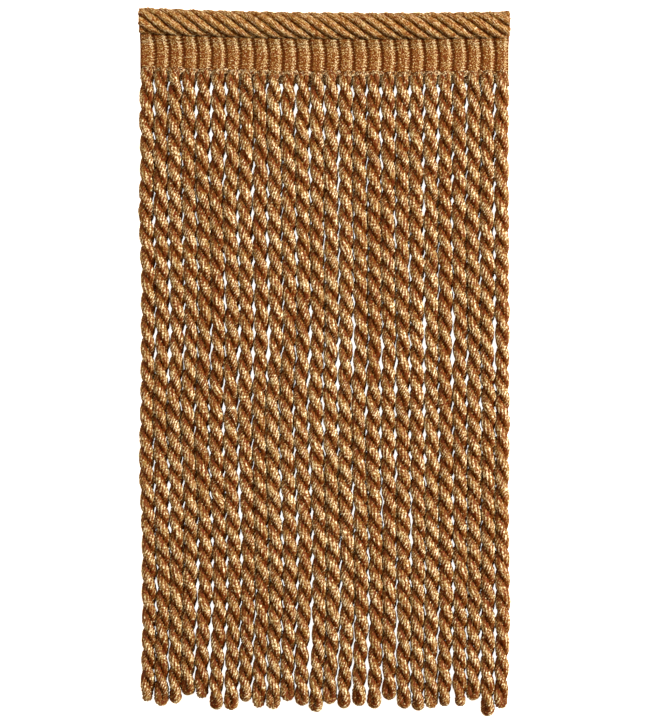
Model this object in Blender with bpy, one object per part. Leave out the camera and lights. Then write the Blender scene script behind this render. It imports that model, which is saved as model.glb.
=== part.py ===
"""Cord fringe trim: a cut length of bullion fringe under a ribbed band and a laid rope.

Metres, +Z up. The trim lies face up on the plane z = 0. +X runs along the heading
and +Y from the tips of the hanging cords up to the heading. The origin is the
middle of the footprint, on that plane.
"""

import math
import random

import bmesh
import bpy

# Driving dimensions of the whole trim
TRIM_LENGTH = 0.130
TRIM_DROP = 0.250
STRAND_COUNT = 26
HEADING_SAG = 0.0019
HEADING_SAG_MIDDLE = 0.020
HEADING_SAG_REACH = 0.085
SEAM_GAP = 0.0003

# Rope along the top: plies laid round each other
ROPE_RADIUS = 0.0048
ROPE_GROOVE_RADIUS = 0.0041
ROPE_PLIES = 6
ROPE_PLY_PITCH = 0.0053

# Ribbed band, woven over one rib for each strand
BAND_BACK_TOP = 0.0090
BAND_SHOULDER = 0.0099
BAND_BOTTOM = 0.0216
BAND_BOTTOM_BEVEL = 0.0009
BAND_VALLEY = 0.0022
BAND_RIB_RISE = 0.0012
RIB_PROFILE = (
    # share of the rib's width, share of its rise
    (0.00, 0.00),
    (0.22, 0.80),
    (0.50, 1.00),
    (0.78, 0.80),
)
BAND_ROWS = (
    # depth below the top of the trim, share of the band's thickness
    (BAND_BACK_TOP, 0.46),
    (BAND_SHOULDER, 1.00),
    (BAND_BOTTOM - BAND_BOTTOM_BEVEL, 1.00),
    (BAND_BOTTOM, 0.72),
)

# Strip that the strands are rooted in, along the band's lower edge
STRIP_DEPTH = 0.0027
STRIP_LOW = 0.0007
STRIP_HIGH = 0.0043

# Hanging strands: two plies twisted on each other, ending in a closed loop
STRAND_AXIS_HEIGHT = 0.0025
CREST_SIZE = (0.0022, 0.0025)
GROOVE_SIZE = (0.00195, 0.00195)
ROOT_SIZE = (0.0021, 0.0013)
FIRST_QUARTER_TURN = 0.0019
QUARTER_TURN_AT_TOP = 0.00425
QUARTER_TURN_AT_TIP = 0.00405
TIP_LENGTH = 0.0032
TIP_RINGS = (
    # share of the tip's length, share of a full ring's size
    (0.62, 0.78),
    (1.00, 0.30),
)
OWN_SWAY = 0.0001
OWN_SWAY_CYCLES = (1.2, 2.4)
OWN_SWAY_STARTS = 0.12
SEED = 11

# How far each strand's tip ends above the lowest one, left to right
TIP_RISES = (
    0.0052, 0.0036, 0.0045, 0.0074, 0.0062, 0.0024, 0.0022, 0.0052, 0.0029,
    0.0024, 0.0053, 0.0037, 0.0015, 0.0043, 0.0027, 0.0036, 0.0027, 0.0057,
    0.0027, 0.0019, 0.0027, 0.0035, 0.0035, 0.0056, 0.0000, 0.0025,
)

# Sideways lie of the skirt along +X, at five places across it
DRAPE = (
    # share of the drop, left, centre left, centre, centre right, right
    (0.00, 0.0000, 0.0000, 0.0000, 0.0000, 0.0000),
    (0.20, -0.0001, -0.0004, -0.0001, 0.0002, -0.0002),
    (0.41, 0.0005, 0.0003, 0.0001, 0.0003, 0.0002),
    (0.54, -0.0002, -0.0008, -0.0006, 0.0002, 0.0002),
    (0.80, 0.0007, 0.0006, 0.0006, 0.0007, 0.0001),
    (1.00, 0.0000, -0.0006, -0.0004, 0.0003, -0.0002),
)

# Worked out from the driving dimensions
HALF_LENGTH = TRIM_LENGTH / 2
TOP = TRIM_DROP / 2
STRAND_PITCH = TRIM_LENGTH / STRAND_COUNT
STRIP_TOP = TOP - BAND_BOTTOM - SEAM_GAP
STRIP_BOTTOM = STRIP_TOP - STRIP_DEPTH

YARN_ROUGHNESS = 0.55
ROPE_COLOUR = (0.33, 0.16, 0.055)
BAND_COLOUR = (0.32, 0.15, 0.045)
STRAND_COLOUR = (0.28, 0.14, 0.055)


def heading_drop(x):
    """How far the heading lies below a straight line at x."""
    share = (x - HEADING_SAG_MIDDLE) / HEADING_SAG_REACH
    return -HEADING_SAG * (1.0 - share * share)


def eased(share):
    return 0.5 - 0.5 * math.cos(math.pi * share)


def drape(across, down):
    """Sideways lie at a share of the way across the skirt and a share of its drop."""
    last_column = len(DRAPE[0]) - 2
    column = min(int(across * last_column), last_column - 1)
    beyond = across * last_column - column
    lies = [row[column + 1] * (1.0 - beyond) + row[column + 2] * beyond for row in DRAPE]
    for place in range(len(DRAPE) - 1):
        start, end = DRAPE[place][0], DRAPE[place + 1][0]
        if down <= end:
            share = eased((down - start) / (end - start))
            return lies[place] * (1.0 - share) + lies[place + 1] * share
    return lies[-1]


def strand_x(strand, down, sway):
    """Where a strand's axis lies at a share of its drop, given its own sway."""
    cycles, phase = sway
    root_x = -HALF_LENGTH + (strand + 0.5) * STRAND_PITCH
    grown = eased(min(down / OWN_SWAY_STARTS, 1.0))
    own = OWN_SWAY * grown * math.sin(2 * math.pi * (cycles * down + phase))
    return root_x + drape(strand / (STRAND_COUNT - 1), down) + own


def strand_sways():
    """Each strand's own number of waves and where they start."""
    numbers = random.Random(SEED)
    return [(numbers.uniform(*OWN_SWAY_CYCLES), numbers.random()) for _ in range(STRAND_COUNT)]


def yarn_material(name, colour):
    material = bpy.data.materials.new(name)
    material.use_nodes = True
    shader = material.node_tree.nodes["Principled BSDF"]
    shader.inputs["Base Color"].default_value = (*colour, 1.0)
    shader.inputs["Roughness"].default_value = YARN_ROUGHNESS
    shader.inputs["Metallic"].default_value = 0.0
    return material


def add_object(name, mesh_builder, material):
    """Makes one named object from a bmesh, with every face pointing out."""
    bmesh.ops.recalc_face_normals(mesh_builder, faces=mesh_builder.faces)
    mesh = bpy.data.meshes.new(name)
    mesh_builder.to_mesh(mesh)
    mesh_builder.free()
    mesh.shade_smooth()
    mesh.set_sharp_from_angle(angle=math.radians(50))
    mesh.materials.append(material)
    obj = bpy.data.objects.new(name, mesh)
    bpy.context.scene.collection.objects.link(obj)
    return obj


def join_laid_rings(mesh_builder, upper, lower):
    """Joins two rings with triangles whose long edges run on with the lay of the plies."""
    sides = len(upper)
    for side in range(sides):
        after = (side + 1) % sides
        mesh_builder.faces.new((upper[side], upper[after], lower[after]))
        mesh_builder.faces.new((upper[side], lower[after], lower[side]))


def rope_ring(mesh_builder, station, x):
    """A crest and a groove for each ply, moved on by one side at each station."""
    centre_y = TOP - ROPE_RADIUS + heading_drop(x)
    sides = 2 * ROPE_PLIES
    ring = []
    for side in range(sides):
        radius = ROPE_GROOVE_RADIUS if (side + station) % 2 else ROPE_RADIUS
        angle = 2 * math.pi * side / sides
        y = centre_y + radius * math.cos(angle)
        z = ROPE_RADIUS + radius * math.sin(angle)
        ring.append(mesh_builder.verts.new((x, y, z)))
    return ring


def build_rope():
    """Rope of the heading, cut square at both ends."""
    mesh_builder = bmesh.new()
    stations = round(TRIM_LENGTH / (ROPE_PLY_PITCH / 2))
    rings = []
    for station in range(stations + 1):
        x = -HALF_LENGTH + TRIM_LENGTH * station / stations
        rings.append(rope_ring(mesh_builder, station, x))
    for left, right in zip(rings, rings[1:]):
        join_laid_rings(mesh_builder, left, right)
    mesh_builder.faces.new(rings[0])
    mesh_builder.faces.new(rings[-1])
    return add_object("heading_rope", mesh_builder, yarn_material("rope_yarn", ROPE_COLOUR))


def band_columns():
    """Places along the band, each with the share of a rib's rise that it stands at."""
    columns = []
    for rib in range(STRAND_COUNT):
        for share, rise in RIB_PROFILE:
            columns.append((-HALF_LENGTH + (rib + share) * STRAND_PITCH, rise))
    columns.append((HALF_LENGTH, 0.0))
    return columns


def join_rows(mesh_builder, upper, lower):
    for left in range(len(upper) - 1):
        mesh_builder.faces.new((upper[left], upper[left + 1], lower[left + 1], lower[left]))


def build_band():
    """Ribbed band: flat at the back, with one rounded rib for each strand on its face."""
    mesh_builder = bmesh.new()
    columns = band_columns()
    rows = []
    for depth, thickness in BAND_ROWS:
        row = []
        for x, rise in columns:
            z = thickness * (BAND_VALLEY + BAND_RIB_RISE * rise)
            row.append(mesh_builder.verts.new((x, TOP - depth + heading_drop(x), z)))
        rows.append(row)
    back_top = [mesh_builder.verts.new((vert.co.x, vert.co.y, 0.0)) for vert in rows[0]]
    back_bottom = [mesh_builder.verts.new((vert.co.x, vert.co.y, 0.0)) for vert in rows[-1]]
    around = [back_top, *rows, back_bottom]
    for upper, lower in zip(around, around[1:]):
        join_rows(mesh_builder, upper, lower)
    for end in (0, -1):
        mesh_builder.faces.new([row[end] for row in around])
    mesh_builder.faces.new(back_top + back_bottom[::-1])
    return add_object("heading_band", mesh_builder, yarn_material("band_yarn", BAND_COLOUR))


def square_ring(mesh_builder, x, y, half_width, half_height):
    """Four points round a strand's axis: left, top, right and bottom."""
    places = ((-half_width, 0.0), (0.0, half_height), (half_width, 0.0), (0.0, -half_height))
    return [mesh_builder.verts.new((x + dx, y, STRAND_AXIS_HEIGHT + dz)) for dx, dz in places]


def strand_ring(mesh_builder, step, x, y, size):
    """The two plies' crests face sideways at an even step, and up and down at an odd one."""
    sideways = step % 2 == 0
    half_width = size * (CREST_SIZE if sideways else GROOVE_SIZE)[0]
    half_height = size * (GROOVE_SIZE if sideways else CREST_SIZE)[1]
    return square_ring(mesh_builder, x, y, half_width, half_height)


def strand_levels(root_y, tip_y):
    """Places of a strand's rings, a quarter turn of its plies apart, and each ring's size."""
    levels = [root_y - FIRST_QUARTER_TURN]
    while True:
        down = (root_y - levels[-1]) / (root_y - tip_y)
        turn = QUARTER_TURN_AT_TOP + (QUARTER_TURN_AT_TIP - QUARTER_TURN_AT_TOP) * down
        if levels[-1] - turn < tip_y + TIP_LENGTH:
            break
        levels.append(levels[-1] - turn)
    tip_start = levels[-1]
    tip_levels = [(tip_start - share * (tip_start - tip_y), size) for share, size in TIP_RINGS]
    return [(y, 1.0) for y in levels] + tip_levels


def join_root(mesh_builder, cell, ring):
    """Fills the strip's lower face round a strand's root."""
    left, top, right, bottom = ring
    low_left, high_left, high_right, low_right = cell
    mesh_builder.faces.new((low_left, high_left, left))
    mesh_builder.faces.new((high_left, high_right, top))
    mesh_builder.faces.new((high_right, low_right, right))
    mesh_builder.faces.new((low_right, low_left, bottom))
    mesh_builder.faces.new((high_left, top, left))
    mesh_builder.faces.new((high_right, right, top))
    mesh_builder.faces.new((low_right, bottom, right))
    mesh_builder.faces.new((low_left, left, bottom))


def add_strand(mesh_builder, strand, cell, sway):
    """One twisted strand, rooted in its cell of the strip and closed at its tip."""
    root_x = strand_x(strand, 0.0, sway)
    root_y = STRIP_BOTTOM + heading_drop(root_x)
    tip_y = -TOP + TIP_RISES[strand]
    upper = square_ring(mesh_builder, root_x, root_y, *ROOT_SIZE)
    join_root(mesh_builder, cell, upper)
    for step, (y, size) in enumerate(strand_levels(root_y, tip_y), start=1):
        x = strand_x(strand, (root_y - y) / (root_y - tip_y), sway)
        lower = strand_ring(mesh_builder, step, x, y, size)
        join_laid_rings(mesh_builder, upper, lower)
        upper = lower
    mesh_builder.faces.new(upper)


def strip_section(mesh_builder, x):
    """Four corners of the strip at x: the band's side, then the strands' side."""
    band_side = STRIP_TOP + heading_drop(x)
    strand_side = STRIP_BOTTOM + heading_drop(x)
    corners = (
        (band_side, STRIP_LOW),
        (band_side, STRIP_HIGH),
        (strand_side, STRIP_HIGH),
        (strand_side, STRIP_LOW),
    )
    return [mesh_builder.verts.new((x, y, z)) for y, z in corners]


def build_skirt():
    """All the strands and the narrow strip that they are rooted in, as one piece."""
    mesh_builder = bmesh.new()
    sways = strand_sways()
    edges = [-HALF_LENGTH + edge * STRAND_PITCH for edge in range(STRAND_COUNT + 1)]
    sections = [strip_section(mesh_builder, x) for x in edges]
    for strand in range(STRAND_COUNT):
        left, right = sections[strand], sections[strand + 1]
        for corner, after in ((0, 1), (1, 2), (3, 0)):
            mesh_builder.faces.new((left[corner], left[after], right[after], right[corner]))
        add_strand(mesh_builder, strand, (left[3], left[2], right[2], right[3]), sways[strand])
    mesh_builder.faces.new(sections[0])
    mesh_builder.faces.new(sections[-1])
    return add_object("bullion_skirt", mesh_builder, yarn_material("strand_yarn", STRAND_COLOUR))


def main():
    for obj in list(bpy.data.objects):
        bpy.data.objects.remove(obj, do_unlink=True)
    build_rope()
    build_band()
    build_skirt()


main()
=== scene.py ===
"""Looks of the cord fringe trim: twisted strands, laid rope, ribbed band, stage, lights and camera."""
import math
import random

import bmesh
import bpy
import numpy as np
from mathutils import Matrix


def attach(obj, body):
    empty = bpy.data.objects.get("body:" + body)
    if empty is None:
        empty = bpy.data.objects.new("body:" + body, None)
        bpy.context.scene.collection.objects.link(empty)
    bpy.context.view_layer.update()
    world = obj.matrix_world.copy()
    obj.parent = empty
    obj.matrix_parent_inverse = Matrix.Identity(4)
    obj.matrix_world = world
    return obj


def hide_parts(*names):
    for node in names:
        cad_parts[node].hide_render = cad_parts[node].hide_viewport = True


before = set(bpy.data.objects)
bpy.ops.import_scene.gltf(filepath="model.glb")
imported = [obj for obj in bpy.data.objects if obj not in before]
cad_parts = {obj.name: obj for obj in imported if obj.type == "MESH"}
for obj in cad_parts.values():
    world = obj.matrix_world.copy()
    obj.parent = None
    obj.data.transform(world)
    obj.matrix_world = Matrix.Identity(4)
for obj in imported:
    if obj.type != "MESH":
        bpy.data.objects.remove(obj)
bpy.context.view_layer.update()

MM = 0.001

# Driving dimensions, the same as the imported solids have
TRIM_LENGTH = 0.130
TRIM_DROP = 0.250
STRAND_COUNT = 26
HEADING_SAG = 0.0019
HEADING_SAG_MIDDLE = 0.020
HEADING_SAG_REACH = 0.085
ROPE_RADIUS = 0.0048
BAND_TOP = 0.0080
BAND_BOTTOM = 0.0216
OWN_SWAY = 0.0001
OWN_SWAY_CYCLES = (1.2, 2.4)
OWN_SWAY_STARTS = 0.12
SEED = 11

HALF_LENGTH = TRIM_LENGTH / 2
TOP = TRIM_DROP / 2
STRAND_PITCH = TRIM_LENGTH / STRAND_COUNT

# How far each strand's tip ends above the lowest one, left to right
TIP_RISES = (
    0.0052, 0.0036, 0.0045, 0.0074, 0.0062, 0.0024, 0.0022, 0.0052, 0.0029,
    0.0024, 0.0053, 0.0037, 0.0015, 0.0043, 0.0027, 0.0036, 0.0027, 0.0057,
    0.0027, 0.0019, 0.0027, 0.0035, 0.0035, 0.0056, 0.0000, 0.0025,
)

# Sideways lie of the skirt along +X, at five places across it
DRAPE = (
    # share of the drop, left, centre left, centre, centre right, right
    (0.00, 0.0000, 0.0000, 0.0000, 0.0000, 0.0000),
    (0.20, -0.0001, -0.0004, -0.0001, 0.0002, -0.0002),
    (0.41, 0.0005, 0.0003, 0.0001, 0.0003, 0.0002),
    (0.54, -0.0002, -0.0008, -0.0006, 0.0002, 0.0002),
    (0.80, 0.0007, 0.0006, 0.0006, 0.0007, 0.0001),
    (1.00, 0.0000, -0.0006, -0.0004, 0.0003, -0.0002),
)

# Strand: two plies twisted on each other, each a bundle of yarns twisted the other way
PLY_OFFSET = 1.20 * MM
PLY_RADIAL = 1.62 * MM
PLY_TANGENTIAL = 1.905 * MM
STRAND_AXIS_HEIGHT = PLY_OFFSET + PLY_RADIAL
HALF_TURN_AT_TOP = 8.30 * MM
HALF_TURN_AT_TIP = 7.55 * MM
START_TURN_SPREAD = 0.75
TURN_WANDER = 0.42
TURN_WANDER_CYCLES = (1.0, 2.3, 4.1)
TURN_WANDER_STARTS = 0.15
LOOP_TWIST_SHARE = 0.15
NEIGHBOUR_LAG = 150.0 / 360.0
NESTING = (
    # share of the drop, how far neighbours' turns have settled into each other
    (0.00, 0.0),
    (0.06, 0.1),
    (0.24, 1.0),
    (0.44, 1.0),
    (0.54, 0.2),
    (0.68, 1.0),
    (0.82, 0.6),
    (1.00, 1.0),
)
FIRST_NARROW_DEPTH = 26.2 * MM
STRAND_START_DEPTH = 21.0 * MM
ROOT_GROWTH = 5.0 * MM
ROOT_SIZE = 0.70
ROOT_RISE = 0.7 * MM
ROOT_AXIS_SHARE = 0.3
SWAY_ADDED = 0.12 * MM
SWAY_ADDED_CYCLES = (2.5, 5.5)
SWAY_ADDED_PARTS = (1.0, 0.6)
NEST_ROOM = 0.30 * MM
NEST_REACH = 4.0 * MM
NEST_STRANDS = 7
NEST_SMOOTHING = 9
THINNED = (
    # share of the drop, reach of the thinner stretch, how much thinner
    (0.035, 0.05, 0.06),
    (0.45, 0.08, 0.11),
    (0.95, 0.14, 0.10),
)
YARNS_IN_PLY = 7
YARN_POINTS = (0.78, 1.0)
YARN_LUMPS = 0.06
LUMP_SMOOTHING = (0.3, 0.4, 0.3)
YARN_REACH_LIMITS = (0.66, 1.06)
YARN_LAY = 7.4 * MM
YARN_WANDER = 0.9
YARN_WANDER_STEP = 5.0 * MM
YARN_DASH = 4.6 * MM
STRAND_RING_STEP = 0.55 * MM
STRAND_LAYS_APART = 17.0
STRAND_TONE_SPREAD = 0.03
LOOP_RINGS = 9
LOOP_STRAIGHT = 3.2 * MM

# Rope: plies laid round a core, each wrapped in fine yarn
ROPE_PLIES = 6
ROPE_LAY = 31.3 * MM
ROPE_PLY_OFFSET = 3.28 * MM
ROPE_PLY_RADIAL = 1.52 * MM
ROPE_PLY_TANGENTIAL = 1.44 * MM
ROPE_CORE_RADIUS = 2.6 * MM
ROPE_CORE_POINTS = (0.97, 1.0)
ROPE_CORE_YARNS = 6
ROPE_YARNS = 10
ROPE_YARN_POINTS = (0.80, 1.0)
ROPE_YARN_LAY = 45.0 * MM
ROPE_RING_STEP = 0.50 * MM
ROPE_YARN_DASH = 5.5 * MM
ROPE_YARN_WANDER = 0.5
ROPE_LAYS_APART = 31.0
ROPE_TONE_SPREAD = 0.02

# Ribbed band
BAND_VALLEY = 2.3 * MM
BAND_RIB_RISE = 0.80 * MM
BAND_RIB_LEAN_AT_TOP = -0.40 * MM
BAND_RIB_BOW = 0.80 * MM
BAND_RIB_LEAN_BACK = 0.35 * MM
# Shares of the band's depth: where a change starts and how far it runs
BAND_BOW_RUN = (0.08, 0.42)
BAND_LEAN_BACK_RUN = (0.60, 0.40)
BAND_RAGGED_RUN = (0.8, 0.2)
BAND_EDGE_RUN = 0.08
BAND_EDGE_THICKNESS = 0.62
BAND_TOP_SLOPE_RUN = 0.16
BAND_TOP_THICKNESS = 0.45
# Painted light on the band below the rope: where it comes in, and where it fades out again
BAND_ROLL_LIGHT_RUN = (0.13, 0.08)
BAND_ROLL_DARK_RUN = (0.26, 0.22)
BAND_THREAD_PITCH = 1.08 * MM
BAND_THREAD_RISE = 0.15 * MM
BAND_THREAD_SLANT = 0.35
BAND_COLUMNS_PER_RIB = 18
BAND_RIB_RISES_BY = 0.14
BAND_RIB_FALLS_FROM = 0.62
# Painted highlight strip on each rib's right slope, as shares of the rib: where it ends, how fast it rises
# and falls
BAND_HIGHLIGHT_END = 0.86
BAND_HIGHLIGHT_RISE = 0.10
BAND_HIGHLIGHT_FALL = 0.07
# Painted valley shade at each rib's end and at the next rib's start, as shares of the rib: start and run, end
# and run
BAND_VALLEY_BEFORE = (0.84, 0.06)
BAND_VALLEY_AFTER = (0.20, 0.10)
BAND_TOOTH_DEPTH = 0.03
BAND_RIB_FULLNESS = 0.9
BAND_LAY_PITCH = 0.9 * MM
BAND_LAY_PER_RIB = 1.2
BAND_TEETH = 0.12
# Lightness added by the painted highlight strip and by the painted valley shade
BAND_HIGHLIGHT_TONE = 0.38
BAND_VALLEY_SHADE_TONE = -0.55
BAND_ROW_STEP = 0.20 * MM
BAND_EDGE_SPREAD = 0.45 * MM
BAND_ROLL = 2.2 * MM
BAND_ROLL_DEPTH = 9.6 * MM
BAND_ROLL_REACH = 1.9 * MM
# Lightness of the painted light on the band below the rope
BAND_ROLL_PAINTED_LIGHT = 0.24

# Foundation threads behind the heads of the strands
FOOTING_THREADS = (
    # depth below the top, height of the middle
    (20.9 * MM, 0.9 * MM),
    (21.5 * MM, 1.4 * MM),
    (22.1 * MM, 1.8 * MM),
    (22.9 * MM, 1.9 * MM),
    (23.7 * MM, 1.8 * MM),
    (24.5 * MM, 1.6 * MM),
)
# Thicker threads under them that close the view through, darkened as painted shade: depth below the top,
# height
UNDER_THREADS = ((21.3 * MM, 0.80 * MM), (22.4 * MM, 0.82 * MM), (23.5 * MM, 0.80 * MM))
UNDER_RADIUS = 0.75 * MM
UNDER_SHADE_TONE = -0.30
FOOTING_RADIUS = 0.52 * MM
FOOTING_TONE = -0.05
FOOTING_POINTS = (0.82, 1.0)
FOOTING_YARNS = 4
FOOTING_WAVES_PER_STRAND = 3
FOOTING_WAVE = 0.30 * MM
FOOTING_RING_STEP = 0.5 * MM
FOOTING_LAY = 2.4 * MM

# Loops of yarn over each strand's head
HEAD_LOOP = (
    # across from the strand's axis, depth below the top, height
    (-2.2 * MM, 24.8 * MM, 1.6 * MM),
    (-2.0 * MM, 23.2 * MM, 2.7 * MM),
    (-1.3 * MM, 21.8 * MM, 3.6 * MM),
    (0.0 * MM, 21.0 * MM, 3.9 * MM),
    (1.3 * MM, 21.8 * MM, 3.6 * MM),
    (2.0 * MM, 23.2 * MM, 2.7 * MM),
    (2.2 * MM, 24.8 * MM, 1.6 * MM),
)
BRIDGE_LOOP = (
    # across from the middle between two strands, depth below the top, height
    (-2.0 * MM, 22.9 * MM, 1.5 * MM),
    (-1.6 * MM, 22.0 * MM, 2.4 * MM),
    (-0.8 * MM, 21.3 * MM, 3.0 * MM),
    (0.0 * MM, 21.0 * MM, 3.1 * MM),
    (0.8 * MM, 21.3 * MM, 3.0 * MM),
    (1.6 * MM, 22.0 * MM, 2.4 * MM),
    (2.0 * MM, 22.9 * MM, 1.5 * MM),
)
HEAD_LOOP_RADIUS = 0.56 * MM
HEAD_LOOP_RINGS = 16
HEAD_LOOPS_PER_STRAND = 5
BRIDGE_LOOPS_PER_STRAND = 4
HEAD_LOOP_SPREAD = 0.42 * MM
HEAD_LOOP_TONES = (-0.20, 0.30)
HEAD_LOOP_WIDTHS = (0.3, 1.0)
HEAD_LOOP_HEIGHTS = (0.74, 0.98)
HEAD_LOOP_DROPS = (-1.8, 1.4)
HEAD_LOOP_SLANT = 0.35
HEAD_LOOP_SIZES = (0.85, 1.1)
HEAD_LOOP_POINTS = (0.84, 1.0)
HEAD_LOOP_YARNS = 4
HEAD_LOOP_LAY = 2.4 * MM
HEAD_LOOP_SMOOTHING = (0.25, 0.5, 0.25)

# Camera and stage
PHOTO_LONG_SIDE = 722
METRES_PER_PIXEL = 0.3541 * MM
LENS_MM = 100
SENSOR_MM = 36
VIEW_CENTRE = (0.0002, 0.0005)
# Floor glow to all rays, which lights the trim from below, and the extra glow seen only by the camera
FLOOR_GLOW = 0.14
FLOOR_GLOW_SEEN = 0.84
LUSTRE_TINT = (1.0, 0.80, 0.54, 1.0)
# Noise range that becomes painted glints on the yarn crests
GLINT_RUN = (0.48, 0.72)


def heading_drop(x):
    """How far the heading lies below a straight line at x."""
    share = (x - HEADING_SAG_MIDDLE) / HEADING_SAG_REACH
    return -HEADING_SAG * (1.0 - share * share)


def eased(share):
    return 0.5 - 0.5 * np.cos(np.pi * np.clip(share, 0.0, 1.0))


def run_along(share, run):
    """Goes smoothly from 0 to 1 over a run, which is a start and a length."""
    start, length = run
    return eased((share - start) / length)


def drape(across, down):
    """Sideways lie at a share of the way across the skirt and shares of its drop."""
    last_column = len(DRAPE[0]) - 2
    column = min(int(across * last_column), last_column - 1)
    beyond = across * last_column - column
    lies = [row[column + 1] * (1.0 - beyond) + row[column + 2] * beyond for row in DRAPE]
    lie = np.full_like(down, lies[0])
    for place in range(len(DRAPE) - 1):
        start, end = DRAPE[place][0], DRAPE[place + 1][0]
        lie += (lies[place + 1] - lies[place]) * eased((down - start) / (end - start))
    return lie


def strand_x(strand, down, sway):
    """Where a strand's axis lies at shares of its drop, given its own sway."""
    cycles, phase = sway
    root_x = -HALF_LENGTH + (strand + 0.5) * STRAND_PITCH
    grown = eased(down / OWN_SWAY_STARTS)
    own = OWN_SWAY * grown * np.sin(2 * np.pi * (cycles * down + phase))
    return root_x + drape(strand / (STRAND_COUNT - 1), down) + own


def strand_sways():
    """Each strand's own number of waves and where they start."""
    numbers = random.Random(SEED)
    return [(numbers.uniform(*OWN_SWAY_CYCLES), numbers.random()) for _ in range(STRAND_COUNT)]


def unit(vectors):
    return vectors / np.linalg.norm(vectors, axis=-1, keepdims=True)


def tube_surface(path, radial, twist, sizes, profile, along):
    """Rings of a twisted bundle of yarns along a path.

    sizes holds the half sizes along the radial direction and across it, for each ring.
    profile holds the reach of each point round the ring, either once or for each ring.
    """
    tangent = unit(np.gradient(path, axis=0))
    radial = unit(radial - (radial * tangent).sum(1, keepdims=True) * tangent)
    across = np.cross(tangent, radial)
    count = profile.shape[-1]
    around = 2 * np.pi * np.arange(count) / count
    angle = around[None, :] + twist[:, None]
    out = np.cos(angle) * profile * sizes[:, :1]
    side = np.sin(angle) * profile * sizes[:, 1:]
    points = path[:, None] + out[..., None] * radial[:, None] + side[..., None] * across[:, None]
    lay = np.empty((len(path), count, 3))
    lay[..., 0] = np.cos(around)
    lay[..., 1] = np.sin(around)
    lay[..., 2] = along[:, None]
    # Crest and the facing cos(angle) drive painted highlight on yarn crests and painted shade in the grooves,
    # where plies face each other and on undersides.
    crest = np.broadcast_to((profile - profile.min()) / np.ptp(profile), (len(path), count))
    return points, lay, crest, np.cos(angle)


def lumpy(points, yarns, rings, share, numbers):
    """Profile of a bundle of yarns for each ring, with thicker and thinner places along each yarn."""
    lumps = numbers.normal(0.0, share, (rings + 2, yarns))
    before, here, after = LUMP_SMOOTHING
    lumps = before * lumps[:-2] + here * lumps[1:-1] + after * lumps[2:]
    profile = np.tile(points, yarns)[None, :] + np.repeat(lumps, len(points), axis=1)
    return np.clip(profile, *YARN_REACH_LIMITS)


def yarn_wander(along, numbers):
    """Uneven twist of a bundle's yarns at each distance along it."""
    marks = np.arange(0.0, along[-1] + 2 * YARN_WANDER_STEP, YARN_WANDER_STEP)
    return YARN_WANDER * np.interp(along, marks, numbers.normal(0.0, 1.0, len(marks)))


def add_tubes(name, tubes, material):
    """Joins tubes into one mesh piece. A tube is its rings, lay, crest, outward facing and a lightness value:
    random or fixed for most pieces, painted shade for the under threads.
    """
    points, lays, crests, outs, tones, faces = [], [], [], [], [], []
    first = 0
    for rings, lay, crest, outward, tone_and_painted_light in tubes:
        count, sides = rings.shape[:2]
        ids = first + np.arange(count * sides).reshape(count, sides)
        after = np.roll(ids, -1, axis=1)
        quads = np.stack((ids[:-1], ids[1:], after[1:], after[:-1]), axis=-1).reshape(-1, 4)
        faces.append((quads, ids[0], ids[-1][::-1]))
        points.append(rings.reshape(-1, 3))
        lays.append(lay.reshape(-1, 3))
        crests.append(crest.reshape(-1))
        outs.append(outward.reshape(-1))
        tones.append(np.full(count * sides, tone_and_painted_light))
        first += count * sides
    all_faces = []
    for quads, start_cap, end_cap in faces:
        all_faces.extend(quads.tolist())
        all_faces.append(start_cap.tolist())
        all_faces.append(end_cap.tolist())
    mesh = bpy.data.meshes.new(name)
    mesh.from_pydata(np.concatenate(points).tolist(), [], all_faces)
    add_attribute(mesh, "lay", "FLOAT_VECTOR", np.concatenate(lays))
    add_attribute(mesh, "crest", "FLOAT", np.concatenate(crests))
    add_attribute(mesh, "outward", "FLOAT", np.concatenate(outs))
    add_attribute(mesh, "tone_and_painted_light", "FLOAT", np.concatenate(tones))
    return finish_piece(name, mesh, material)


def add_attribute(mesh, name, kind, values):
    attribute = mesh.attributes.new(name, kind, "POINT")
    field = "vector" if kind == "FLOAT_VECTOR" else "value"
    attribute.data.foreach_set(field, np.asarray(values, np.float32).reshape(-1))


def finish_piece(name, mesh, material):
    mesh.shade_smooth()
    mesh.materials.append(material)
    mesh.update()
    piece = bpy.data.objects.new(name, mesh)
    bpy.context.scene.collection.objects.link(piece)
    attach(piece, "root")
    return piece


def set_sockets(node, values):
    for name, value in values.items():
        node.inputs[name].default_value = value


def attribute_socket(tree, name, output):
    node = tree.nodes.new("ShaderNodeAttribute")
    node.attribute_name = name
    return node.outputs[output]


def worked_out(tree, operation, first, second):
    """Socket of a Math node. Each input is a socket or a number."""
    node = tree.nodes.new("ShaderNodeMath")
    node.operation = operation
    for place, value in enumerate((first, second)):
        if isinstance(value, (int, float)):
            node.inputs[place].default_value = value
        else:
            tree.links.new(value, node.inputs[place])
    return node.outputs["Value"]


def noise_socket(tree, vector, scale, detail, roughness):
    node = tree.nodes.new("ShaderNodeTexNoise")
    set_sockets(node, {"Scale": scale, "Detail": detail, "Roughness": roughness})
    tree.links.new(vector, node.inputs["Vector"])
    return node.outputs["Fac"]


def rising(tree, socket, low, high):
    """Goes smoothly from 0 where the socket is at low to 1 where it is at high."""
    node = tree.nodes.new("ShaderNodeMapRange")
    node.interpolation_type = "SMOOTHSTEP"
    set_sockets(node, {"From Min": low, "From Max": high})
    tree.links.new(socket, node.inputs["Value"])
    return node.outputs["Result"]


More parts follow.
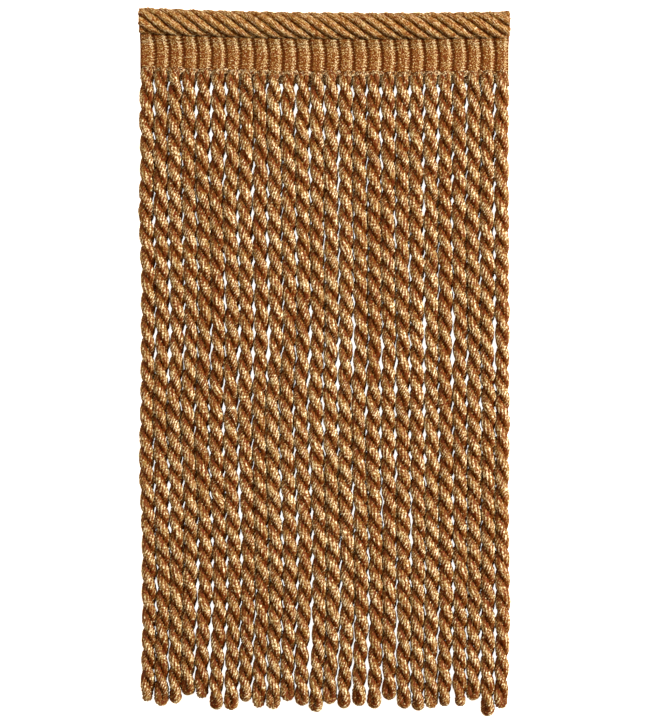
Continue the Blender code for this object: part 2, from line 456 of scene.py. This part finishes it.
def yarn_material(name, look):
    """Lustrous spun yarn: streaks along each yarn, with painted highlight on the yarns' crests and painted
    shade between yarns and between plies.
    """
    material = bpy.data.materials.new(name)
    material.use_nodes = True
    tree = material.node_tree
    shader = tree.nodes["Principled BSDF"]
    set_sockets(
        shader,
        {
            "Roughness": look["roughness"],
            "Specular IOR Level": look["gloss"],
            "Specular Tint": LUSTRE_TINT,
        },
    )
    place = tree.nodes.new("ShaderNodeTexCoord").outputs["Object"]
    crest = attribute_socket(tree, "crest", "Fac")
    outward = attribute_socket(tree, "outward", "Fac")
    tone_and_painted_light = attribute_socket(tree, "tone_and_painted_light", "Fac")
    streaks = noise_socket(tree, attribute_socket(tree, "lay", "Vector"), look["streak_scale"], 3.0, 0.7)
    mottle = noise_socket(tree, place, look["mottle_scale"], 2.0, 0.6)
    # Painted glints: random noise dots, kept to the yarn crests, lighten the colour as highlights.
    glint = noise_socket(tree, place, look["glint_scale"], 1.0, 0.5)
    glint = rising(tree, glint, *GLINT_RUN)
    grain = noise_socket(tree, place, look["grain_scale"], 0.0, 0.5)

    # Lightness for the colour ramp. The crest term is painted highlight on yarn crests and painted shade in
    # the grooves between them. The outward term is painted shade where plies face each other, on undersides
    # and in the band's valleys. The per-point lightness attribute is random, and on the band and the under
    # threads it is also painted light and shade. Streaks, mottle and grain are the yarn's own variation.
    light = worked_out(tree, "ADD", tone_and_painted_light, look["offset"])
    parts = (
        (rising(tree, crest, 0.1, 0.9), look["crest_shading_share"]),
        (streaks, look["streak_share"]),
        (mottle, look["mottle_share"]),
        (grain, look["grain_share"]),
        (worked_out(tree, "MULTIPLY", glint, crest), look["glint_share"]),
        (rising(tree, outward, 0.0, 0.9), look["outward_shade_share"]),
    )
    for socket, share in parts:
        light = worked_out(tree, "ADD", light, worked_out(tree, "MULTIPLY", socket, share))

    hue_noise = noise_socket(tree, place, look["hue_scale"], 2.0, 0.5)
    hue_turn = worked_out(tree, "MULTIPLY", hue_noise, look["hue_share"])
    hue_turn = worked_out(tree, "ADD", hue_turn, 0.5 - 0.5 * look["hue_share"])

    ramp = tree.nodes.new("ShaderNodeValToRGB")
    ramp.color_ramp.elements[0].color = (*look["colours"][0], 1.0)
    ramp.color_ramp.elements[1].color = (*look["colours"][-1], 1.0)
    inner = look["colours"][1:-1]
    for step, colour in enumerate(inner, start=1):
        element = ramp.color_ramp.elements.new(step / (len(inner) + 1))
        element.color = (*colour, 1.0)
    tree.links.new(light, ramp.inputs["Fac"])
    hue = tree.nodes.new("ShaderNodeHueSaturation")
    tree.links.new(hue_turn, hue.inputs["Hue"])
    tree.links.new(ramp.outputs["Color"], hue.inputs["Color"])
    tree.links.new(hue.outputs["Color"], shader.inputs["Base Color"])

    bump = tree.nodes.new("ShaderNodeBump")
    set_sockets(bump, {"Strength": 0.8, "Distance": look["bump_depth"]})
    tree.links.new(worked_out(tree, "ADD", streaks, grain), bump.inputs["Height"])
    tree.links.new(bump.outputs["Normal"], shader.inputs["Normal"])
    return material


def ply_angles(strand, strand_numbers, depth):
    """Angle of the plies round the strand's axis at each depth below the strand's start."""
    length = depth[-1]
    share = depth / length
    half_turn = HALF_TURN_AT_TOP + (HALF_TURN_AT_TIP - HALF_TURN_AT_TOP) * share
    slowed = eased((length - depth) / LOOP_STRAIGHT)
    steps = np.diff(depth, prepend=depth[0])
    turning = LOOP_TWIST_SHARE + (1.0 - LOOP_TWIST_SHARE) * slowed
    angle = np.cumsum(np.pi / half_turn * turning * steps)
    first_narrow = FIRST_NARROW_DEPTH - STRAND_START_DEPTH
    angle += np.pi / 2 - np.interp(first_narrow, depth, angle)
    angle += strand_numbers.uniform(-START_TURN_SPREAD, START_TURN_SPREAD)
    for cycles in TURN_WANDER_CYCLES:
        start = strand_numbers.uniform(0.0, 1.0)
        wave = np.sin(2 * np.pi * (cycles * share + start))
        angle += TURN_WANDER / cycles * wave * eased(share / TURN_WANDER_STARTS)
    lag = (NEIGHBOUR_LAG * strand + 0.5) % 1.0 - 0.5
    marks, nested = zip(*NESTING)
    settled = np.interp(share, marks, nested)
    return angle - np.pi * lag * settled


def added_sway(strand_numbers, down):
    """Finer sideways sway than the solids have, so that neighbours press together or part."""
    sway = np.zeros_like(down)
    for part in SWAY_ADDED_PARTS:
        cycles = strand_numbers.uniform(*SWAY_ADDED_CYCLES) / part
        phase = strand_numbers.uniform(0.0, 2 * np.pi)
        sway += SWAY_ADDED * part * np.sin(2 * np.pi * cycles * down + phase)
    return sway * eased(down / OWN_SWAY_STARTS)


def strand_depths(strand):
    """Height on the page at which a strand starts, and its rings' depths below that."""
    root_x = -HALF_LENGTH + (strand + 0.5) * STRAND_PITCH
    start_y = TOP - STRAND_START_DEPTH + heading_drop(root_x)
    loop_y = -TOP + TIP_RISES[strand] + PLY_OFFSET + PLY_RADIAL
    length = start_y - loop_y
    return start_y, np.linspace(0.0, length, round(length / STRAND_RING_STEP))


def nesting_shifts(courses, angles):
    """Sideways shifts: strands lie closer where their turns fit into each other, and further apart
    where their wide places meet."""
    level = np.arange(0.0, TRIM_DROP, NEST_REACH / 4)
    turns = np.array([np.interp(level, TOP - start_y + depth, angle)
                      for (start_y, depth), angle in zip(courses, angles)])
    room = NEST_ROOM * np.cos(2.0 * np.diff(turns, axis=0))
    window = np.full(NEST_SMOOTHING, 1 / NEST_SMOOTHING)
    padded = np.pad(room, ((0, 0), (NEST_SMOOTHING // 2, NEST_SMOOTHING // 2)), "edge")
    room = np.array([np.convolve(line, window, "valid") for line in padded])
    lie = np.concatenate((np.zeros((1, len(level))), np.cumsum(room, axis=0)))
    beside = NEST_STRANDS // 2
    padded = np.pad(lie, ((beside, beside), (0, 0)), "edge")
    around = np.array([padded[first:first + NEST_STRANDS].mean(0) for first in range(STRAND_COUNT)])
    shifts = (lie - around) * eased(level / (TRIM_DROP * OWN_SWAY_STARTS))
    return [np.interp(TOP - start_y + depth, level, shift)
            for (start_y, depth), shift in zip(courses, shifts)]


def strand_tube(strand, sway, strand_numbers, course, angle, shift):
    """One strand as a single loop of yarn bundle: down one ply, round the tip and up the other."""
    start_y, depth = course
    rings = len(depth)
    down_share = depth / depth[-1]
    axis = np.zeros((rings, 3))
    axis[:, 0] = strand_x(strand, down_share, sway) + added_sway(strand_numbers, down_share) + shift
    axis[:, 1] = start_y - depth
    grown = ROOT_SIZE + (1.0 - ROOT_SIZE) * eased(depth / ROOT_GROWTH)
    raised = ROOT_RISE * np.sin(np.pi * np.clip(depth / ROOT_GROWTH, 0.0, 1.0))
    axis[:, 2] = STRAND_AXIS_HEIGHT * (ROOT_AXIS_SHARE + (1.0 - ROOT_AXIS_SHARE) * grown) + raised
    radial = np.stack((-np.cos(angle), np.zeros(rings), np.sin(angle)), axis=1)

    offset = PLY_OFFSET * grown
    down_path = axis + offset[:, None] * radial
    up_path = axis - offset[:, None] * radial

    turn = np.pi * np.arange(1, LOOP_RINGS) / LOOP_RINGS
    last = radial[-1]
    loop_radial = np.cos(turn)[:, None] * last + np.sin(turn)[:, None] * np.array((0.0, -1.0, 0.0))
    loop_path = axis[-1] + PLY_OFFSET * loop_radial

    path = np.concatenate((down_path, loop_path, up_path[::-1]))
    outward = np.concatenate((radial, loop_radial, -radial[::-1]))
    thickness = grown.copy()
    for middle, reach, share in THINNED:
        thickness *= 1.0 - share * eased(1.0 - np.abs(down_share - middle) / reach)
    size = np.concatenate((thickness, np.full(LOOP_RINGS - 1, thickness[-1]), thickness[::-1]))
    along = np.concatenate(((0.0,), np.cumsum(np.linalg.norm(np.diff(path, axis=0), axis=1))))
    twist = 2 * np.pi * along / YARN_LAY + strand_numbers.uniform(0.0, 2 * np.pi)
    sizes = size[:, None] * np.array((PLY_RADIAL, PLY_TANGENTIAL))
    lumps = np.random.default_rng(SEED + strand)
    twist += yarn_wander(along, lumps)
    profile = lumpy(YARN_POINTS, YARNS_IN_PLY, len(path), YARN_LUMPS, lumps)
    rings, lay, crest, outward = tube_surface(path, outward, twist, sizes, profile, along / YARN_DASH)
    lay[..., 2] += STRAND_LAYS_APART * strand
    return rings, lay, crest, outward, strand_numbers.gauss(0.0, STRAND_TONE_SPREAD)


def build_strands(material):
    sways = strand_sways()
    strand_numbers = random.Random(SEED + 1)
    courses = [strand_depths(strand) for strand in range(STRAND_COUNT)]
    angles = [ply_angles(strand, strand_numbers, courses[strand][1]) for strand in range(STRAND_COUNT)]
    shifts = nesting_shifts(courses, angles)
    for strand in range(STRAND_COUNT):
        tube = strand_tube(
            strand, sways[strand], strand_numbers, courses[strand], angles[strand], shifts[strand]
        )
        piece = add_tubes(f"strand_{strand + 1:02d}", [tube], material)
        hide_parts("bullion_skirt")


def build_rope(material):
    """Laid rope along the top, its plies cut square at the trim's ends."""
    run = math.hypot(1.0, 2 * math.pi * ROPE_PLY_OFFSET / ROPE_LAY)
    rings = round(TRIM_LENGTH * run / ROPE_RING_STEP)
    x = np.linspace(-HALF_LENGTH, HALF_LENGTH, rings)
    centre = np.stack((x, TOP - ROPE_RADIUS + heading_drop(x), np.full(rings, ROPE_RADIUS)), axis=1)
    numbers = random.Random(SEED + 2)
    tubes = []
    for ply in range(ROPE_PLIES):
        angle = 2 * np.pi * (x / ROPE_LAY + ply / ROPE_PLIES)
        radial = np.stack((np.zeros(rings), np.cos(angle), np.sin(angle)), axis=1)
        path = centre + ROPE_PLY_OFFSET * radial
        along = (x - x[0]) * run
        twist = 2 * np.pi * along / ROPE_YARN_LAY
        sizes = np.tile((ROPE_PLY_RADIAL, ROPE_PLY_TANGENTIAL), (rings, 1))
        lumps = np.random.default_rng(SEED + ply)
        twist = twist + ROPE_YARN_WANDER * yarn_wander(along, lumps)
        profile = lumpy(ROPE_YARN_POINTS, ROPE_YARNS, rings, YARN_LUMPS, lumps)
        surface, lay, crest, outward = tube_surface(
            path, radial, twist, sizes, profile, along / ROPE_YARN_DASH
        )
        surface[0, :, 0] = -HALF_LENGTH
        surface[-1, :, 0] = HALF_LENGTH
        lay[..., 2] += ROPE_LAYS_APART * ply
        tubes.append((surface, lay, crest, outward, numbers.gauss(0.0, ROPE_TONE_SPREAD)))
    core_radial = np.tile((0.0, 1.0, 0.0), (rings, 1))
    core_sizes = np.full((rings, 2), ROPE_CORE_RADIUS)
    core_profile = np.tile(ROPE_CORE_POINTS, ROPE_CORE_YARNS)
    core = tube_surface(centre, core_radial, np.zeros(rings), core_sizes, core_profile, x / MM)
    tubes.append((*core, 0.0))
    piece = add_tubes("rope", tubes, material)
    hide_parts("heading_rope")


def build_band(material):
    """Ribbed band: one bowed rib for each strand, crossed by fine threads."""
    columns = STRAND_COUNT * BAND_COLUMNS_PER_RIB + 1
    depth_run = BAND_BOTTOM - BAND_TOP
    rows = round(depth_run / BAND_ROW_STEP) + 1
    u = np.linspace(0.0, STRAND_COUNT, columns)[None, :]
    depth = np.linspace(BAND_TOP, BAND_BOTTOM, rows)[:, None]
    down = (depth - BAND_TOP) / depth_run
    rib_share = u - np.floor(np.minimum(u, STRAND_COUNT - 1e-9))
    left = eased(rib_share / BAND_RIB_RISES_BY)
    thread_turn = depth / BAND_THREAD_PITCH + BAND_THREAD_SLANT * rib_share + 0.5 * np.floor(u)
    threads = 0.5 + 0.5 * np.cos(2 * np.pi * thread_turn)
    right = eased((1.0 - rib_share - BAND_TOOTH_DEPTH * (1.0 - threads)) / (1.0 - BAND_RIB_FALLS_FROM))
    rib = left * right * (BAND_RIB_FULLNESS + (1.0 - BAND_RIB_FULLNESS) * np.sin(np.pi * rib_share))
    bow = BAND_RIB_LEAN_AT_TOP + BAND_RIB_BOW * run_along(down, BAND_BOW_RUN)
    bow = bow - BAND_RIB_LEAN_BACK * run_along(down, BAND_LEAN_BACK_RUN)
    inside = np.minimum(1.0, np.minimum(u, STRAND_COUNT - u))
    x = -HALF_LENGTH + u * STRAND_PITCH + bow * inside
    edge_numbers = np.random.default_rng(SEED + 4).uniform(-1.0, 1.0, 4 * STRAND_COUNT + 1)
    ragged = BAND_EDGE_SPREAD * np.interp(u, np.linspace(0.0, STRAND_COUNT, len(edge_numbers)), edge_numbers)
    ragged_from, ragged_run = BAND_RAGGED_RUN
    ragged = ragged * np.clip((down - ragged_from) / ragged_run, 0.0, 1.0) ** 2
    y = TOP - depth + heading_drop(x) + ragged
    edge = eased(np.minimum(down / BAND_EDGE_RUN, (1.0 - down) / BAND_EDGE_RUN))
    thinned = BAND_EDGE_THICKNESS + (1.0 - BAND_EDGE_THICKNESS) * edge
    z = thinned * (BAND_VALLEY + BAND_RIB_RISE * rib) + BAND_THREAD_RISE * threads
    top_slope = np.clip(down / BAND_TOP_SLOPE_RUN, 0.0, 1.0)
    z *= BAND_TOP_THICKNESS + (1.0 - BAND_TOP_THICKNESS) * top_slope
    z = z + BAND_ROLL * np.exp(-((depth - BAND_ROLL_DEPTH) / BAND_ROLL_REACH) ** 2)
    shape = np.broadcast_shapes(x.shape, y.shape, z.shape)
    front = np.stack([np.broadcast_to(part, shape) for part in (x, y, z)], axis=-1).reshape(-1, 3)
    ids = np.arange(rows * columns).reshape(rows, columns)
    quads = np.stack((ids[:-1, :-1], ids[1:, :-1], ids[1:, 1:], ids[:-1, 1:]), axis=-1).reshape(-1, 4)
    around = np.concatenate((ids[:, 0], ids[-1, 1:], ids[::-1, -1][1:], ids[0, ::-1][1:-1]))
    rim = front[around].copy()
    rim[:, 2] = 0.0
    rim_ids = len(front) + np.arange(len(around))
    sides = np.stack((around, rim_ids, np.roll(rim_ids, -1), np.roll(around, -1)), axis=-1)
    mesh = bpy.data.meshes.new("band")
    faces = quads.tolist() + sides.tolist() + [rim_ids[::-1].tolist()]
    mesh.from_pydata(np.concatenate((front, rim)).tolist(), [], faces)
    builder = bmesh.new()
    builder.from_mesh(mesh)
    bmesh.ops.recalc_face_normals(builder, faces=builder.faces)
    builder.to_mesh(mesh)
    builder.free()
    lay = np.empty((len(front), 3))
    lay[:, 0] = np.broadcast_to(depth / BAND_LAY_PITCH, shape).reshape(-1)
    lay[:, 1] = 0.0
    lay[:, 2] = np.broadcast_to(u * BAND_LAY_PER_RIB, shape).reshape(-1)
    add_attribute(mesh, "lay", "FLOAT_VECTOR", np.concatenate((lay, lay[around])))
    # Painted highlight: a lighter strip on the right slope of each rib, where the key light falls, its edge
    # toothed along the crossing threads.
    painted_highlight_end = BAND_HIGHLIGHT_END + BAND_TEETH * threads
    painted_highlight = eased((rib_share - BAND_RIB_FALLS_FROM) / BAND_HIGHLIGHT_RISE)
    painted_highlight = painted_highlight * eased((painted_highlight_end - rib_share) / BAND_HIGHLIGHT_FALL)
    # Painted shade in the valley between ribs, notched where the crossing threads dip.
    valley_end, valley_run = BAND_VALLEY_AFTER
    valley_shade = run_along(rib_share, BAND_VALLEY_BEFORE) + eased((valley_end - rib_share) / valley_run)
    valley_shade = np.clip(valley_shade, 0.0, 1.0)
    # Crest: lighter on the thread crests and on the highlight strip, as painted highlight.
    crest = np.broadcast_to(0.25 + 0.25 * threads + 0.5 * painted_highlight, shape).reshape(-1)
    tone_and_painted_light = BAND_HIGHLIGHT_TONE * painted_highlight * (0.75 + 0.25 * threads)
    tone_and_painted_light = tone_and_painted_light + BAND_VALLEY_SHADE_TONE * valley_shade * (1.0 - painted_highlight) * (1.0 - threads)
    # Painted light on the band just below the rope, where the rope's shade falls.
    lit = run_along(down, BAND_ROLL_LIGHT_RUN) * (1.0 - run_along(down, BAND_ROLL_DARK_RUN))
    tone_and_painted_light = tone_and_painted_light + BAND_ROLL_PAINTED_LIGHT * lit
    tone_and_painted_light = np.broadcast_to(tone_and_painted_light, shape).reshape(-1)
    # Outward: painted shade in the valleys between ribs, lighter on the rib tops.
    outward = np.broadcast_to(2.0 * rib - 1.0, shape).reshape(-1)
    add_attribute(mesh, "crest", "FLOAT", np.concatenate((crest, crest[around])))
    add_attribute(mesh, "outward", "FLOAT", np.concatenate((outward, outward[around])))
    add_attribute(mesh, "tone_and_painted_light", "FLOAT", np.concatenate((tone_and_painted_light, tone_and_painted_light[around])))
    piece = finish_piece("band", mesh, material)
    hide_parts("heading_band")


def build_footing(material):
    """Foundation threads that the strands' heads are looped over, under the band's lower edge."""
    x = np.linspace(-HALF_LENGTH, HALF_LENGTH, round(TRIM_LENGTH / FOOTING_RING_STEP))
    radial = np.tile((0.0, 0.0, 1.0), (len(x), 1))
    profile = np.tile(FOOTING_POINTS, FOOTING_YARNS)
    tubes = []
    numbers = np.random.default_rng(SEED + 5)
    marks = np.linspace(-HALF_LENGTH, HALF_LENGTH, FOOTING_WAVES_PER_STRAND * STRAND_COUNT)
    for depth, height in FOOTING_THREADS:
        waves = [FOOTING_WAVE * np.interp(x, marks, numbers.uniform(-1.0, 1.0, len(marks))) for _ in range(2)]
        path = np.stack((x, TOP - depth + heading_drop(x) + waves[0], height + waves[1]), axis=1)
        sizes = np.full((len(x), 2), FOOTING_RADIUS)
        twist = 2 * np.pi * x / FOOTING_LAY
        tubes.append((*tube_surface(path, radial, twist, sizes, profile, x / YARN_DASH), FOOTING_TONE))
    for depth, height in UNDER_THREADS:
        path = np.stack((x, TOP - depth + heading_drop(x), np.full(len(x), height)), axis=1)
        sizes = np.full((len(x), 2), UNDER_RADIUS)
        twist = 2 * np.pi * x / FOOTING_LAY
        tubes.append((*tube_surface(path, radial, twist, sizes, profile, x / YARN_DASH), UNDER_SHADE_TONE))
    piece = add_tubes("footing", tubes, material)
    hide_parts("bullion_skirt")


def short_loop(marks, middle_x, numbers):
    """One small loop of yarn, arched over the band's lower edge, about middle_x."""
    at_marks = np.linspace(0.0, 1.0, len(marks))
    at_rings = np.linspace(0.0, 1.0, HEAD_LOOP_RINGS)
    scale = (numbers.uniform(*HEAD_LOOP_WIDTHS), 1.0, numbers.uniform(*HEAD_LOOP_HEIGHTS))
    shifted = np.array(marks) * scale
    across, depth, height = (np.interp(at_rings, at_marks, shifted[:, part]) for part in range(3))
    for line in (across, depth, height):
        for _ in range(3):
            line[1:-1] = np.convolve(line, HEAD_LOOP_SMOOTHING, "valid")
    x = middle_x + across + numbers.uniform(-HEAD_LOOP_SPREAD, HEAD_LOOP_SPREAD)
    y = TOP - depth + heading_drop(middle_x) + numbers.uniform(*HEAD_LOOP_DROPS) * HEAD_LOOP_SPREAD
    y = y + numbers.uniform(-HEAD_LOOP_SLANT, HEAD_LOOP_SLANT) * across
    path = np.stack((np.clip(x, -HALF_LENGTH, HALF_LENGTH), y, height), axis=1)
    radial = np.tile((0.0, 0.0, 1.0), (HEAD_LOOP_RINGS, 1))
    run = np.concatenate(((0.0,), np.cumsum(np.linalg.norm(np.diff(path, axis=0), axis=1))))
    twist = 2 * np.pi * run / HEAD_LOOP_LAY + numbers.uniform(0.0, 2 * np.pi)
    sizes = np.full((HEAD_LOOP_RINGS, 2), HEAD_LOOP_RADIUS * numbers.uniform(*HEAD_LOOP_SIZES))
    profile = np.tile(HEAD_LOOP_POINTS, HEAD_LOOP_YARNS)
    surface, lay, crest, outward = tube_surface(path, radial, twist, sizes, profile, run / YARN_DASH)
    lay[..., 2] += middle_x / MM
    return surface, lay, crest, outward, numbers.uniform(*HEAD_LOOP_TONES)


def build_head_loops(material):
    """Short loops of yarn that bind the head of each strand to the band."""
    numbers = random.Random(SEED + 3)
    tubes = []
    for strand in range(STRAND_COUNT):
        root_x = -HALF_LENGTH + (strand + 0.5) * STRAND_PITCH
        for _ in range(HEAD_LOOPS_PER_STRAND):
            tubes.append(short_loop(HEAD_LOOP, root_x, numbers))
        if strand < STRAND_COUNT - 1:
            for _ in range(BRIDGE_LOOPS_PER_STRAND):
                tubes.append(short_loop(BRIDGE_LOOP, root_x + STRAND_PITCH / 2, numbers))
    piece = add_tubes("head_loops", tubes, material)
    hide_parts("bullion_skirt")


def build_stage():
    """Plain pale floor under the trim. It glows: evenly white to the camera, with a faint glow that lights
    the trim from below.
    """
    bpy.ops.mesh.primitive_plane_add(size=6.0, location=(0.0, 0.0, -0.0002))
    floor = bpy.context.object
    floor.name = "floor"
    material = bpy.data.materials.new("floor_white")
    material.use_nodes = True
    shader = material.node_tree.nodes["Principled BSDF"]
    set_sockets(
        shader,
        {
            "Base Color": (0.82, 0.62, 0.42, 1.0),
            "Roughness": 0.9,
            "Specular IOR Level": 0.1,
            "Emission Color": (1.0, 1.0, 1.0, 1.0),
        },
    )
    seen = material.node_tree.nodes.new("ShaderNodeLightPath").outputs["Is Camera Ray"]
    glow = worked_out(material.node_tree, "MULTIPLY", seen, FLOOR_GLOW_SEEN)
    glow = worked_out(material.node_tree, "ADD", glow, FLOOR_GLOW)
    material.node_tree.links.new(glow, shader.inputs["Emission Strength"])
    floor.data.materials.append(material)


def add_area_light(name, place, size, watts, colour):
    data = bpy.data.lights.new(name, "AREA")
    data.shape = "RECTANGLE"
    data.size, data.size_y = size
    data.energy = watts
    data.color = colour
    light = bpy.data.objects.new(name, data)
    light.location = place
    aim = -light.location.copy()
    light.rotation_euler = aim.to_track_quat("-Z", "Y").to_euler()
    bpy.context.scene.collection.objects.link(light)


def build_lights():
    add_area_light("key", (0.88, 0.12, 0.66), (0.25, 0.25), 24.5, (1.0, 0.98, 0.95))
    add_area_light("fill", (-0.2, 0.50, 0.75), (0.8, 0.8), 8.0, (1.0, 0.95, 0.84))
    world = bpy.data.worlds.new("studio")
    world.use_nodes = True
    set_sockets(world.node_tree.nodes["Background"], {"Color": (1.0, 0.85, 0.61, 1.0), "Strength": 0.50})
    bpy.context.scene.world = world
    bpy.context.scene.view_settings.view_transform = "Standard"


def build_camera():
    """Looks straight down on the trim, framed as the photograph is."""
    data = bpy.data.cameras.new("camera")
    data.lens = LENS_MM
    data.sensor_width = SENSOR_MM
    camera = bpy.data.objects.new("camera", data)
    distance = PHOTO_LONG_SIDE * METRES_PER_PIXEL * LENS_MM / SENSOR_MM
    camera.location = (*VIEW_CENTRE, distance)
    bpy.context.scene.collection.objects.link(camera)
    bpy.context.scene.camera = camera


STRAND_LOOK = {
    "colours": (
        (0.090, 0.016, 0.001),
        (0.195, 0.080, 0.013),
        (0.276, 0.160, 0.056),
        (0.348, 0.263, 0.138),
        (0.720, 0.595, 0.400),
    ),
    "roughness": 0.48,
    "gloss": 0.16,
    "streak_scale": 4.5,
    "mottle_scale": 800.0,
    "glint_scale": 1100.0,
    "grain_scale": 1700.0,
    "bump_depth": 0.00018,
    "hue_scale": 700.0,
    "hue_share": 0.055,
    "crest_shading_share": 0.78,
    "streak_share": 2.50,
    "mottle_share": 0.35,
    "glint_share": 0.60,
    "grain_share": 1.80,
    "outward_shade_share": 0.56,
    "offset": -3.04,
}
ROPE_LOOK = {
    **STRAND_LOOK,
    "colours": (
        (0.090, 0.018, 0.001),
        (0.190, 0.070, 0.007),
        (0.296, 0.165, 0.056),
        (0.334, 0.232, 0.112),
        (0.500, 0.400, 0.260),
    ),
    "roughness": 0.52,
    "gloss": 0.11,
    "crest_shading_share": 0.42,
    "streak_share": 3.10,
    "mottle_share": 0.35,
    "mottle_scale": 1100.0,
    "glint_share": 0.50,
    "glint_scale": 1300.0,
    "grain_share": 1.40,
    "grain_scale": 1900.0,
    "outward_shade_share": 0.32,
    "offset": -2.69,
}
BAND_LOOK = {
    **ROPE_LOOK,
    "colours": (
        (0.090, 0.018, 0.001),
        (0.190, 0.082, 0.012),
        (0.298, 0.181, 0.068),
        (0.352, 0.262, 0.130),
        (0.470, 0.380, 0.245),
    ),
    "hue_share": 0.04,
    "streak_scale": 4.0,
    "crest_shading_share": 0.30,
    "streak_share": 2.40,
    "mottle_scale": 1400.0,
    "mottle_share": 0.30,
    "glint_share": 0.0,
    "grain_share": 2.95,
    "grain_scale": 2600.0,
    "bump_depth": 0.00016,
    "outward_shade_share": 0.14,
    "offset": -3.125,
}


def main():
    strand_yarn = yarn_material("strand_yarn_look", STRAND_LOOK)
    rope_yarn = yarn_material("rope_yarn_look", ROPE_LOOK)
    band_yarn = yarn_material("band_yarn_look", BAND_LOOK)
    build_strands(strand_yarn)
    build_footing(strand_yarn)
    build_head_loops(strand_yarn)
    build_rope(rope_yarn)
    build_band(band_yarn)
    build_stage()
    build_lights()
    build_camera()
    bpy.context.view_layer.update()


main()
